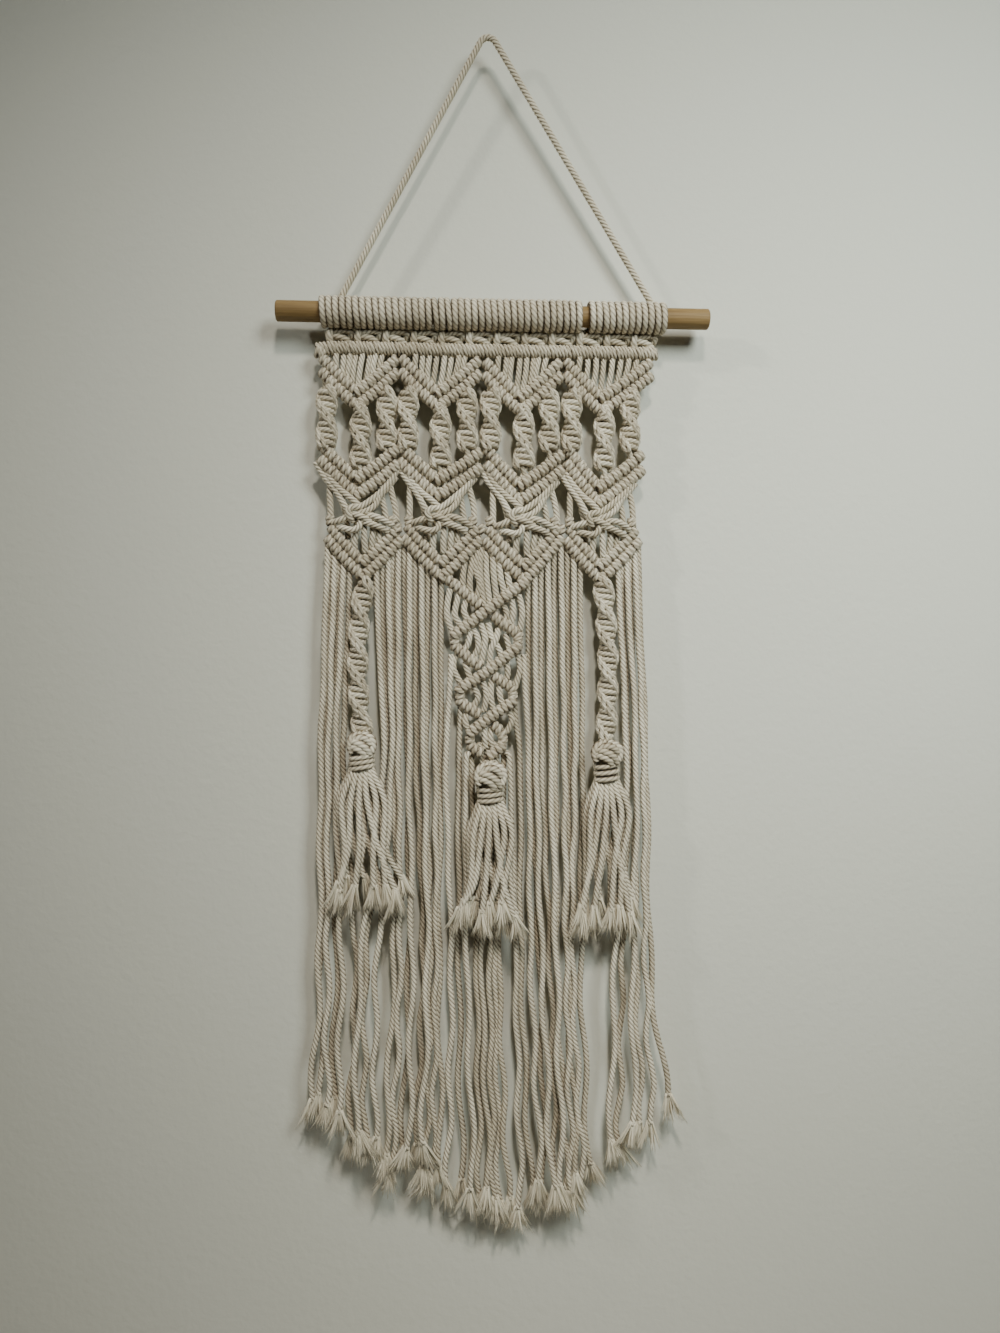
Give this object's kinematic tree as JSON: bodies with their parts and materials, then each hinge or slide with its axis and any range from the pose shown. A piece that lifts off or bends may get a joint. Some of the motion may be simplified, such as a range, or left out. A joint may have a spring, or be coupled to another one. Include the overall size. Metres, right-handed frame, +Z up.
{
  "type": "macrame wall hanging on its wooden dowel",
  "caption": "Cream cotton macrame wall hanging on a round wooden dowel, with knotted V bars, a lattice, tassels, long fringe and a hanging cord.",
  "frame": {"origin": "the point where the hanging cord lies over its wall nail", "axes": "+Z up, -Y towards the viewer, +X along the dowel to the viewer's right"},
  "size_m": [0.254, 0.0214, 0.7052],
  "materials": {
    "cotton": "matte twisted natural cotton cord",
    "wood": "bare sanded pine"
  },
  "bodies": {
    "root": {"dowel": "wood", "heading_left": "cotton", "heading_right": "cotton", "hanger": "cotton", "panel": "cotton", "fringe": "cotton", "tassel_left": "cotton", "tassel_center": "cotton", "tassel_right": "cotton"}
  },
  "joints": []
}
